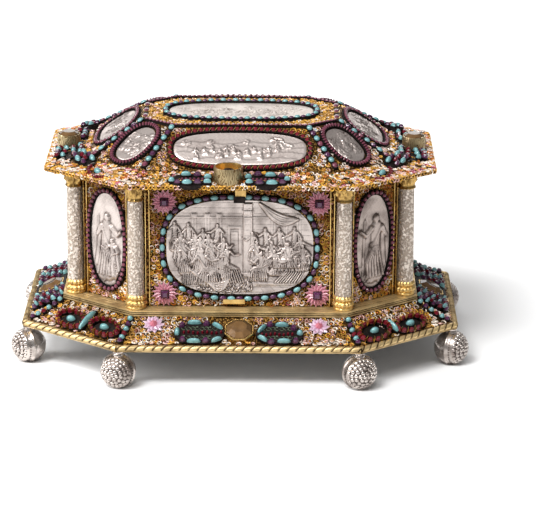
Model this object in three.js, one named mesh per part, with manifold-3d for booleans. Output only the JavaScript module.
// An eight-sided jewelled casket of silver and gilt silver, with a lift-off lid, on ball feet.
// Millimetres, +Z up, the front facing -Y. The origin is on the ground under the middle.
import * as THREE from "three";
import { mergeVertices } from "three/addons/utils/BufferGeometryUtils.js";
import Module from "manifold-3d";

// Plan: how far the walls stand from the middle, and how wide they are
const WALL_TO_END = 162;
const WALL_TO_FRONT = 97;
const FRONT_WALL_WIDTH = 203;
const END_WALL_WIDTH = 103;
const SEAT_GAP = 0.3; // between pieces that rest on each other

// Ball feet, under the corners of the plinth
const FOOT_RADIUS = 18;
const FOOT_FLAT_DEPTH = 1.6; // worn off where the ball stands
const FOOT_INSET = 6.4;
const FOOT_NECK_RADIUS = 6;
const FOOT_NECK_HEIGHT = 2.5;
const BERRY_RELIEF = 0.5; // of the granules on the outer half

// Plinth: a banded rim, a hollow flare and a ledge that carries the walls and columns
const PLINTH_SPREAD = 58;
const RIM_HEIGHT = 6;
const RIM_WIDTH = 5;
const RIM_ROUNDING = 1.5;
const FLARE_HEIGHT = 17;
const FLARE_HOLLOW = 1.7; // 1 is a straight slope
const FLARE_STEPS = 3;
const LEDGE_HEIGHT = 6;
const LEDGE_LIP = 1.6;
const LEDGE_MARGIN = 0.7;
const PLINTH_STONE_RADIUS = 15.5;
const PLINTH_COLLET_HEIGHT = 5;
const PLINTH_STONE_HEIGHT = 9;

// Box
const WALL_HEIGHT = 130;
const WALL_THICKNESS = 5;
const FLOOR_THICKNESS = 3;

// Corner columns
const COLUMN_FOOT_RADIUS = 9.8;
const COLUMN_STANDOFF = 5.1; // of the axis from the corner of the walls
const SHAFT_RADIUS = 7.5;
const COLUMN_BASE_HEIGHT = 14;
const CAPITAL_HEIGHT = 17;

// Lid: a thin eave, a low border, a steeper slope and a flat top
const EAVE_OVERHANG = 32.3;
const EAVE_THICKNESS = 3.5;
const BORDER_WIDTH = { end: 44.3, front: 25.5, diagonal: 29.8 };
const BORDER_RISE = 7;
const SLOPE_RUN = { end: 50.2, front: 45.7, diagonal: 54 };
const SLOPE_RISE = 32.3;
const LID_THICKNESS = 3.5;
const LID_LIP_DEPTH = 5;
const LID_LIP_THICKNESS = 2.5;
const LID_CLEARANCE = 0.6;

// Collets that stand on the lid's border, the front and back ones wider than the end ones
const COLLET_RADIUS = { front: 14.4, end: 11.8 };
const COLLET_TOP = 16.5; // above the eave
const COLLET_SETBACK = { front: 14.6, end: 19 }; // of the axis from the eave
const FRONT_CUP_OFF_MIDDLE = 11; // the front cup stands a little to the left
const COLLET_WALL = 1.6;
const COLLET_CUP_DEPTH = 9;
const COLLET_STONE_HEIGHT = 3;

// Strips of box-set stones along the lid's hips and round its flat top
const STRIP_WIDTH = 4.4;
const STRIP_HEIGHT = 3.6;
const STRIP_INSET = 3.6;

// Oval plaques in jewelled frames: how much of its wall or slope each frame leaves bare
const WALL_MARGIN = {
  front: { side: 22.3, below: 6.5, above: 13.1 },
  diagonal: { side: 11.6, below: 8, above: 14.6 },
  end: { side: 12.9, below: 8, above: 14.6 },
};
const SLOPE_MARGIN = {
  front: { side: 6.1, below: 1.3, above: 1.3 },
  diagonal: { side: 2.8, below: 1.9, above: 1.9 },
  end: { side: 3.2, below: 2.1, above: 2.1 },
};
const TOP_MARGIN = { side: 20.6, below: 21.1 };
const PLAQUE_THICKNESS = 1.5;
const OVAL_FULLNESS = { front: 2.8, diagonal: 2.3, end: 2.5 }; // 2 is an ellipse
const RELIEF_CELL = 11.5;
const RELIEF_HEIGHT = 3;
const FRAME_MARGIN = 1.4; // clears the plaque's edge along the straight runs of the ring
const FRAME_WIDTH = 5;
const FRAME_HEIGHT = 5;
const FRAME_BEVEL = 1.6;

const GILT = { color: 0xc9a24a, metalness: 1, roughness: 0.35 };
const WHITE_SILVER = { color: 0xc9c3bc, metalness: 1, roughness: 0.4 };
const DARK_SILVER = { color: 0x5a4540, metalness: 0.9, roughness: 0.45 };

const wasm = await Module();
wasm.setup();

// The diagonal walls join the edges of the front, back and end walls.
const diagonalFacing = Math.atan2(
  WALL_TO_END - FRONT_WALL_WIDTH / 2,
  WALL_TO_FRONT - END_WALL_WIDTH / 2,
);
const wallToDiagonal =
  WALL_TO_END * Math.cos(diagonalFacing) + (END_WALL_WIDTH / 2) * Math.sin(diagonalFacing);

// Side by side, going round from the right end: each side's name, kind and facing
const SIDES = [
  ["right", "end", 0],
  ["back_right", "diagonal", diagonalFacing],
  ["back", "front", Math.PI / 2],
  ["back_left", "diagonal", Math.PI - diagonalFacing],
  ["left", "end", Math.PI],
  ["front_left", "diagonal", Math.PI + diagonalFacing],
  ["front", "front", 1.5 * Math.PI],
  ["front_right", "diagonal", 2 * Math.PI - diagonalFacing],
].map(([name, kind, facing]) => ({ name, kind, facing }));

// An outline is a list of straight sides, each with the way it faces and its distance out.
const outline = (distances) =>
  SIDES.map((side) => ({ ...side, distance: distances[side.kind] }));

const spread = (sides, out) =>
  sides.map((side) => ({ ...side, distance: side.distance + (out[side.kind] ?? out) }));

const drawnIn = (sides, inwards) =>
  sides.map((side) => ({ ...side, distance: side.distance - inwards[side.kind] }));

// Where two neighbouring sides meet
function crossing(a, b) {
  const turn = Math.sin(b.facing - a.facing);
  return new THREE.Vector2(
    (a.distance * Math.sin(b.facing) - b.distance * Math.sin(a.facing)) / turn,
    (b.distance * Math.cos(a.facing) - a.distance * Math.cos(b.facing)) / turn,
  );
}

// Each corner lies between a side and the next one.
const corners = (sides) =>
  sides.map((side, i) => crossing(side, sides[(i + 1) % sides.length]));

// The way that a corner points: halfway between the facings of its two sides
function cornerFacing(i) {
  const next = SIDES[i + 1]?.facing ?? 2 * Math.PI;
  return (SIDES[i].facing + next) / 2;
}

const outwards = (facing) => new THREE.Vector2(Math.cos(facing), Math.sin(facing));

// The outline with each corner cut off square, that far behind the corner
function withCutCorners(sides, depth) {
  const tips = corners(sides);
  return sides.flatMap((side, i) => {
    const facing = cornerFacing(i);
    const distance = tips[i].dot(outwards(facing)) - depth;
    return [side, { kind: "cut", facing, distance }];
  });
}

const geometryOf = (positions, triangles) =>
  new THREE.BufferGeometry()
    .setAttribute("position", new THREE.Float32BufferAttribute(positions, 3))
    .setIndex(triangles);

// A closed skin over outlines at given heights, in the order that the skin runs
function loft(levels) {
  const positions = [];
  for (const { sides, z } of levels)
    for (const tip of corners(sides)) positions.push(tip.x, tip.y, z);
  const count = levels[0].sides.length;
  const last = (levels.length - 1) * count;
  const triangles = [];
  for (let k = 0; k < last; k += count)
    for (let i = 0; i < count; i++) {
      const next = (i + 1) % count;
      triangles.push(k + i, k + next, k + count + next);
      triangles.push(k + i, k + count + next, k + count + i);
    }
  for (let i = 1; i < count - 1; i++) {
    triangles.push(0, i + 1, i);
    triangles.push(last, last + i, last + i + 1);
  }
  return geometryOf(positions, triangles);
}

const prism = (sides, low, high) => loft([{ sides, z: low }, { sides, z: high }]);

// A three.js geometry as a manifold-3d solid, and back
function solid(geometry) {
  const bare = new THREE.BufferGeometry()
    .setAttribute("position", geometry.getAttribute("position"))
    .setIndex(geometry.index);
  const merged = mergeVertices(bare, 1e-3);
  return new wasm.Manifold(
    new wasm.Mesh({
      numProp: 3,
      vertProperties: new Float32Array(merged.attributes.position.array),
      triVerts: new Uint32Array(merged.index.array),
    }),
  );
}

function geometry(manifold) {
  const mesh = manifold.getMesh();
  return geometryOf(Array.from(mesh.vertProperties), Array.from(mesh.triVerts));
}

// A turned form, its profile given as pairs of radius and height
function turned(profile, sides) {
  const points = profile.map(([radius, height]) => new THREE.Vector2(radius, height));
  return new THREE.LatheGeometry(points, sides).rotateX(Math.PI / 2);
}

const drum = (radius, low, high, sides) =>
  turned([[0, low], [radius, low], [radius, high], [0, high]], sides);

// Moves a geometry from the origin into a seat: its X across, its Y up the face, its Z out
const seatMatrix = ({ centre, across, up, out }) =>
  new THREE.Matrix4().makeBasis(across, up, out).setPosition(centre);

// Heights of the levels, from the ground up
const footCentre = FOOT_RADIUS - FOOT_FLAT_DEPTH;
const plinthBottom = footCentre + FOOT_RADIUS + FOOT_NECK_HEIGHT;
const rimTop = plinthBottom + RIM_HEIGHT;
const flareTop = rimTop + FLARE_HEIGHT;
const ledgeTop = flareTop + LEDGE_HEIGHT;
const wallBottom = ledgeTop + SEAT_GAP;
const wallTop = wallBottom + WALL_HEIGHT;
const eaveBottom = wallTop + SEAT_GAP;
const eaveTop = eaveBottom + EAVE_THICKNESS;
const borderTop = eaveTop + BORDER_RISE;
const lidTop = borderTop + SLOPE_RISE;

// Outlines, all set from the walls
const walls = outline({
  end: WALL_TO_END,
  front: WALL_TO_FRONT,
  diagonal: wallToDiagonal,
});
const plinthEdge = spread(walls, PLINTH_SPREAD);
const columnReach = COLUMN_STANDOFF + COLUMN_FOOT_RADIUS;
const ledge = spread(walls, columnReach + LEDGE_MARGIN);
const grooveDepth = COLUMN_FOOT_RADIUS + SEAT_GAP - COLUMN_STANDOFF;
const boxInside = withCutCorners(spread(walls, -WALL_THICKNESS), grooveDepth);
const eave = spread(walls, EAVE_OVERHANG);
const shoulder = drawnIn(eave, BORDER_WIDTH);
const lidFlat = drawnIn(shoulder, SLOPE_RUN);
const columnAxes = corners(walls).map((tip, i) =>
  tip.clone().addScaledVector(outwards(cornerFacing(i)), COLUMN_STANDOFF),
);

const casket = new THREE.Group();
casket.name = "casket";

function place(name, shape, finish, seat) {
  const mesh = new THREE.Mesh(shape, new THREE.MeshStandardMaterial(finish));
  mesh.name = name;
  if (seat) seatMatrix(seat).decompose(mesh.position, mesh.quaternion, mesh.scale);
  casket.add(mesh);
}

// Ball foot: a plain inner half, a raised seam, and an outer half covered in granules.
// It lies on its axis, which points out of the corner, and is cut flat where it stands.
function makeFoot() {
  const sides = 10;
  const seam = FOOT_RADIUS;
  const onBall = (degrees, radius) => {
    const angle = THREE.MathUtils.degToRad(degrees);
    return [radius * Math.cos(angle), radius * Math.sin(angle)];
  };
  const plainHalf = [-90, -62, -35, -9].map((at) => onBall(at, seam - 0.6));
  const granules = [12, 37, 62, 90].map((at) => onBall(at, seam - 0.4));
  const rows = [...plainHalf, onBall(0, seam), ...granules];
  rows[0][0] = 0;
  rows.at(-1)[0] = 0;
  const ball = turned(rows, sides);
  const spot = ball.getAttribute("position");
  for (let i = 0; i < spot.count; i++) {
    const row = i % rows.length;
    const turn = Math.floor(i / rows.length) % sides;
    if (row <= plainHalf.length || row === rows.length - 1) continue;
    const bump = 1 + ((row + turn) % 2 ? BERRY_RELIEF : -BERRY_RELIEF) / FOOT_RADIUS;
    spot.setXYZ(i, spot.getX(i) * bump, spot.getY(i) * bump, spot.getZ(i) * bump);
  }
  return ball.rotateY(Math.PI / 2).translate(0, 0, footCentre);
}

const footTops = corners(spread(plinthEdge, -FOOT_INSET));
footTops.forEach((spot, i) => {
  const neckTop = plinthBottom - SEAT_GAP;
  const ground = drum(2 * FOOT_RADIUS, -2 * FOOT_RADIUS, 0, 8);
  const foot = solid(makeFoot())
    .add(solid(drum(FOOT_NECK_RADIUS, footCentre + FOOT_RADIUS / 2, neckTop, 6)))
    .subtract(solid(ground));
  const shape = geometry(foot).rotateZ(cornerFacing(i));
  place(`foot_${i + 1}`, shape.translate(spot.x, spot.y, 0), WHITE_SILVER);
});

// A seat on one side of a skin between two outlines, in the middle of what the margins leave
function seatBetween(lower, upper, i, margin) {
  const ends = ({ sides, z }) => {
    const tips = corners(sides);
    return [tips.at(i - 1), tips[i]].map((tip) => new THREE.Vector3(tip.x, tip.y, z));
  };
  const middle = ([a, b]) => a.clone().add(b).divideScalar(2);
  const [low, high] = [ends(lower), ends(upper)];
  const rise = middle(high).sub(middle(low));
  const up = rise.clone().normalize();
  const { facing } = SIDES[i];
  const along = new THREE.Vector3(-Math.sin(facing), Math.cos(facing), 0);
  const out = along.cross(up).normalize();
  const across = up.clone().cross(out);
  const halfHeight = (rise.length() - margin.below - margin.above) / 2;
  const centre = middle(low).addScaledVector(up, margin.below + halfHeight);
  centre.addScaledVector(out, SEAT_GAP);
  return { centre, across, up, out, halfHeight, low, high };
}

// The widest oval on a seat that keeps the side margin clear along both slanting edges
function ovalOn(seat, fullness, sideMargin) {
  const { centre, across, up, out, halfHeight, low, high } = seat;
  const dual = fullness / (fullness - 1);
  const widths = low.map((corner, k) => {
    const edge = high[k].clone().sub(corner).normalize();
    const normal = edge.cross(out).normalize();
    const reach = Math.abs(corner.clone().sub(centre).dot(normal)) - sideMargin;
    const upward = halfHeight * Math.abs(normal.dot(up));
    return (reach ** dual - upward ** dual) ** (1 / dual) / Math.abs(normal.dot(across));
  });
  return [Math.min(...widths), halfHeight];
}

const NO_MARGIN = { below: 0, above: 0 };
const isOnAxis = (side) => side.kind !== "diagonal";

// Plinth, with a large box-set stone in the middle of its front, back and ends
function makePlinth() {
  const flareFoot = -RIM_WIDTH - RIM_ROUNDING;
  const flareRun = PLINTH_SPREAD - columnReach - LEDGE_MARGIN + flareFoot;
  const at = (out, z) => ({ sides: spread(plinthEdge, out), z });
  const levels = [
    at(-RIM_ROUNDING, plinthBottom),
    at(0, plinthBottom + RIM_ROUNDING),
    at(0, rimTop - RIM_ROUNDING),
    at(-RIM_ROUNDING, rimTop),
  ];
  for (let k = 0; k <= FLARE_STEPS; k++) {
    const share = k / FLARE_STEPS;
    levels.push(at(flareFoot - flareRun * share, rimTop + FLARE_HEIGHT * share ** FLARE_HOLLOW));
  }
  const lip = spread(ledge, LEDGE_LIP);
  levels.push({ sides: lip, z: flareTop + LEDGE_LIP });
  levels.push({ sides: lip, z: ledgeTop - LEDGE_LIP });
  levels.push({ sides: ledge, z: ledgeTop });
  let plinth = solid(loft(levels));
  const radius = PLINTH_STONE_RADIUS;
  const stone = turned(
    [
      [0, -RIM_HEIGHT],
      [radius, -RIM_HEIGHT],
      [radius, PLINTH_COLLET_HEIGHT],
      [0.9 * radius, PLINTH_COLLET_HEIGHT],
      [0.6 * radius, PLINTH_STONE_HEIGHT],
      [0, PLINTH_STONE_HEIGHT],
    ],
    8,
  ).rotateZ(Math.PI / 8);
  SIDES.forEach((side, i) => {
    if (!isOnAxis(side)) return;
    const flare = seatBetween(at(flareFoot, rimTop), { sides: ledge, z: flareTop }, i, NO_MARGIN);
    const seat = { ...flare, centre: flare.centre.clone() };
    seat.centre.addScaledVector(seat.out, -PLINTH_COLLET_HEIGHT / 2);
    plinth = plinth.add(solid(stone.clone().applyMatrix4(seatMatrix(seat))));
  });
  return geometry(plinth);
}
place("plinth", makePlinth(), GILT);

// Box: a floor and eight walls, with the corners hollowed out where the columns stand
function makeBox() {
  const floorTop = wallBottom + FLOOR_THICKNESS;
  let box = solid(prism(walls, wallBottom, wallTop));
  box = box.subtract(solid(prism(boxInside, floorTop, wallTop + 1)));
  const groove = drum(COLUMN_FOOT_RADIUS + SEAT_GAP, wallBottom - 1, wallTop + 1, 16);
  for (const axis of columnAxes)
    box = box.subtract(solid(groove.clone().translate(axis.x, axis.y, 0)));
  return geometry(box);
}
place("casket_box", makeBox(), GILT);

// Column: turned base, shaft and capital, from the ledge to the underside of the eave
function makeColumn() {
  const foot = COLUMN_FOOT_RADIUS;
  const top = WALL_HEIGHT;
  const shaftTop = top - CAPITAL_HEIGHT;
  const collar = SHAFT_RADIUS + 0.8;
  return turned(
    [
      [0, 0],
      [foot, 0],
      [foot, 0.25 * COLUMN_BASE_HEIGHT],
      [collar, 0.38 * COLUMN_BASE_HEIGHT],
      [foot - 0.4, 0.6 * COLUMN_BASE_HEIGHT],
      [collar, 0.85 * COLUMN_BASE_HEIGHT],
      [SHAFT_RADIUS, COLUMN_BASE_HEIGHT],
      [SHAFT_RADIUS, shaftTop],
      [collar, shaftTop + 0.15 * CAPITAL_HEIGHT],
      [foot - 0.6, shaftTop + 0.5 * CAPITAL_HEIGHT],
      [foot, shaftTop + 0.6 * CAPITAL_HEIGHT],
      [foot, top],
      [0, top],
    ],
    8,
  );
}
columnAxes.forEach((axis, i) => {
  const shape = makeColumn().rotateZ(cornerFacing(i));
  place(`column_${i + 1}`, shape.translate(axis.x, axis.y, wallBottom), WHITE_SILVER);
});

// The outer form of the lid, or one that lies further out or in by that much
function lidForm(out, bottom = eaveBottom) {
  const at = (sides, z) => ({ sides: spread(sides, out), z });
  return solid(
    loft([
      at(eave, bottom),
      at(eave, eaveTop + out),
      at(shoulder, borderTop + out),
      at(lidFlat, lidTop + out),
    ]),
  );
}

// Lid: hollow under its slopes, with a lip that drops inside the box
function makeLid() {
  const lip = spread(boxInside, -LID_CLEARANCE);
  const lipBottom = eaveBottom - LID_LIP_DEPTH;
  const mouth = solid(prism(spread(lip, -LID_LIP_THICKNESS), lipBottom - 1, lidTop));
  const hollow = mouth.intersect(lidForm(-LID_THICKNESS, lipBottom - 1));
  const lid = lidForm(0).add(solid(prism(lip, lipBottom, eaveBottom + 1)));
  return geometry(lid.subtract(hollow));
}
place("lid", makeLid(), GILT);

const seated = (shape) => shape.subtract(lidForm(SEAT_GAP, 0));

// Where a collet stands on the lid's border
function colletSpot(side, i) {
  const out = eave[i].distance - COLLET_SETBACK[side.kind];
  const spot = outwards(side.facing).multiplyScalar(out);
  return side.name === "front" ? spot.setX(-FRONT_CUP_OFF_MIDDLE) : spot;
}

// A drum of a collet's size, that much wider, in its place
function colletDrum(side, i, wider) {
  const radius = COLLET_RADIUS[side.kind] + wider;
  const spot = colletSpot(side, i);
  const shape = drum(radius, eaveBottom, eaveTop + COLLET_TOP, 14);
  return solid(shape.translate(spot.x, spot.y, 0));
}

// Collets on the lid's border. The front one is an empty cup, and the others hold a stone.
SIDES.forEach((side, i) => {
  if (!isOnAxis(side)) return;
  const top = eaveTop + COLLET_TOP;
  let collet = colletDrum(side, i, 0);
  if (side.name === "front") {
    const cup = colletDrum(side, i, -COLLET_WALL);
    collet = collet.subtract(cup.translate([0, 0, COLLET_TOP + EAVE_THICKNESS - COLLET_CUP_DEPTH]));
  } else {
    const girdle = COLLET_RADIUS[side.kind] - COLLET_WALL;
    const stone = turned(
      [
        [0, top - 1],
        [girdle, top - 1],
        [girdle, top],
        [0.65 * girdle, top + COLLET_STONE_HEIGHT],
        [0, top + COLLET_STONE_HEIGHT],
      ],
      8,
    );
    const spot = colletSpot(side, i);
    collet = collet.add(solid(stone.translate(spot.x, spot.y, 0)));
  }
  place(`collet_${side.name}`, geometry(seated(collet)), GILT);
});

// A bar of stones between two points of the lid, reaching deep enough to be cut to its slopes
function strip(from, to) {
  const up = new THREE.Vector3(0, 0, 1);
  const along = to.clone().sub(from);
  const length = along.length();
  along.normalize();
  const across = up.clone().cross(along).normalize();
  const out = along.clone().cross(across);
  const bar = new THREE.BoxGeometry(length + STRIP_WIDTH, STRIP_WIDTH, 3 * STRIP_HEIGHT);
  bar.translate(length / 2, 0, -STRIP_HEIGHT / 2);
  return solid(
    bar.applyMatrix4(new THREE.Matrix4().makeBasis(along, across, out).setPosition(from)),
  );
}

function makeStrips() {
  const onLevel = (sides, z) =>
    corners(sides).map((tip) => new THREE.Vector3(tip.x, tip.y, z));
  const ring = onLevel(spread(lidFlat, -STRIP_INSET), lidTop);
  const low = onLevel(shoulder, borderTop);
  const bars = ring.flatMap((tip, i) => [
    strip(tip, ring[(i + 1) % ring.length]),
    strip(tip, low[i].clone().lerp(tip, STRIP_WIDTH / low[i].distanceTo(tip))),
  ]);
  const together = bars.reduce((whole, bar) => whole.add(bar));
  return geometry(seated(together));
}
place("lid_stone_strips", makeStrips(), DARK_SILVER);

// How far a point of a full oval lies out, as a share of the ellipse's radius
function ovalReach(x, y, fullness) {
  const angle = Math.atan2(y, x);
  const sum = Math.abs(Math.cos(angle)) ** fullness + Math.abs(Math.sin(angle)) ** fullness;
  return sum ** (-1 / fullness);
}

const mound = (x, y) => Math.sqrt(Math.max(0, 1 - x * x - y * y));

// Chased relief: a row of draped figures, each a head over a body, on a rising ground.
// x and y run from -1 to 1 over the plaque.
function reliefAt(x, y, figures) {
  let height = 0.35 * Math.max(0, -0.5 - y);
  for (let i = 0; i < figures; i++) {
    const spot = figures === 1 ? 0 : -0.72 + (1.44 * i) / (figures - 1);
    const girth = figures === 1 ? 0.45 : 0.8 / figures;
    const foot = i % 2 ? -0.62 : -0.78;
    const tall = figures === 1 ? 1.35 : i % 3 ? 0.8 : 1;
    const body = mound((x - spot) / girth, (y - foot - 0.4 * tall) / (0.45 * tall));
    const head = mound((x - spot) / (0.55 * girth), (y - foot - 0.9 * tall) / (0.14 * tall));
    height = Math.max(height, 0.8 * body, head);
  }
  return height;
}

// Plaque: an oval plate whose face carries the relief, flat behind
function makePlaque([halfWidth, halfHeight], fullness, figures) {
  const columns = Math.round((2 * halfWidth) / RELIEF_CELL);
  const rows = Math.round((2 * halfHeight) / RELIEF_CELL);
  const positions = [];
  const rim = [];
  for (let j = 0; j <= rows; j++)
    for (let i = 0; i <= columns; i++) {
      const [s, t] = [(2 * i) / columns - 1, (2 * j) / rows - 1];
      const [u, v] = [s * Math.sqrt(1 - (t * t) / 2), t * Math.sqrt(1 - (s * s) / 2)];
      const reach = ovalReach(u, v, fullness);
      const edge = Math.abs(s) === 1 || Math.abs(t) === 1;
      const height = edge ? 0 : RELIEF_HEIGHT * reliefAt(u, v, figures);
      positions.push(halfWidth * u * reach, halfHeight * v * reach, PLAQUE_THICKNESS + height);
    }
  const at = (i, j) => j * (columns + 1) + i;
  const triangles = [];
  for (let j = 0; j < rows; j++)
    for (let i = 0; i < columns; i++) {
      triangles.push(at(i, j), at(i + 1, j), at(i + 1, j + 1));
      triangles.push(at(i, j), at(i + 1, j + 1), at(i, j + 1));
    }
  for (let i = 0; i < columns; i++) rim.push(at(i, 0));
  for (let j = 0; j < rows; j++) rim.push(at(columns, j));
  for (let i = columns; i > 0; i--) rim.push(at(i, rows));
  for (let j = rows; j > 0; j--) rim.push(at(0, j));
  const back = positions.length / 3;
  for (const k of rim) positions.push(positions[3 * k], positions[3 * k + 1], 0);
  rim.forEach((front, k) => {
    const next = (k + 1) % rim.length;
    triangles.push(back + k, back + next, rim[next], back + k, rim[next], front);
    if (k > 0 && next > 0) triangles.push(back, back + next, back + k);
  });
  return geometryOf(positions, triangles);
}

// Frame: a ring of box-set stones round a plaque, with a bevelled top
function makeFrame([halfWidth, halfHeight], fullness) {
  const steps = halfWidth > 50 ? 20 : 16;
  const positions = [];
  const triangles = [];
  const section = [
    [FRAME_WIDTH, 0],
    [0, 0],
    [FRAME_BEVEL / 2, FRAME_HEIGHT],
    [FRAME_WIDTH - FRAME_BEVEL / 2, FRAME_HEIGHT],
  ];
  for (let i = 0; i < steps; i++) {
    const angle = (2 * Math.PI * i) / steps;
    const [u, v] = [Math.cos(angle), Math.sin(angle)];
    const reach = ovalReach(u, v, fullness);
    for (const [inwards, z] of section)
      positions.push((halfWidth - inwards) * u * reach, (halfHeight - inwards) * v * reach, z);
    for (let k = 0; k < 4; k++) {
      const [here, there] = [4 * i, 4 * ((i + 1) % steps)];
      const next = (k + 1) % 4;
      triangles.push(here + k, there + k, there + next, here + k, there + next, here + next);
    }
  }
  return geometryOf(positions, triangles);
}

// Sets a frame and its plaque on a seat, with the frame cut back where a collet stands.
function hang(name, oval, kind, figures, seat, collet) {
  const fullness = OVAL_FULLNESS[kind];
  const silver = oval.map((half) => half - FRAME_WIDTH - FRAME_MARGIN);
  place(`plaque_${name}`, makePlaque(silver, fullness, figures), WHITE_SILVER, seat);
  let frame = solid(makeFrame(oval, fullness).applyMatrix4(seatMatrix(seat)));
  if (collet) frame = frame.subtract(collet);
  place(`frame_${name}`, geometry(frame), DARK_SILVER);
}

const WALL_FIGURES = { front: 7, diagonal: 1, end: 3 };
const SLOPE_FIGURES = { front: 6, diagonal: 2, end: 4 };
const TOP_FIGURES = 8;
SIDES.forEach((side, i) => {
  const { name, kind } = side;
  const foot = { sides: walls, z: wallBottom };
  const wall = seatBetween(foot, { sides: walls, z: wallTop }, i, WALL_MARGIN[kind]);
  const onWall = ovalOn(wall, OVAL_FULLNESS[kind], WALL_MARGIN[kind].side);
  hang(name, onWall, kind, WALL_FIGURES[kind], wall);
  const rim = { sides: shoulder, z: borderTop };
  const slope = seatBetween(rim, { sides: lidFlat, z: lidTop }, i, SLOPE_MARGIN[kind]);
  const onSlope = ovalOn(slope, OVAL_FULLNESS[kind], SLOPE_MARGIN[kind].side);
  const collet = isOnAxis(side) ? colletDrum(side, i, SEAT_GAP) : null;
  hang(`lid_${name}`, onSlope, kind, SLOPE_FIGURES[kind], slope, collet);
});
const reachOf = (kind) => lidFlat.find((side) => side.kind === kind).distance;
const onTop = [reachOf("end") - TOP_MARGIN.side, reachOf("front") - TOP_MARGIN.below];
hang("lid_top", onTop, "front", TOP_FIGURES, {
  centre: new THREE.Vector3(0, 0, lidTop + SEAT_GAP),
  across: new THREE.Vector3(1, 0, 0),
  up: new THREE.Vector3(0, 1, 0),
  out: new THREE.Vector3(0, 0, 1),
});

export default casket;
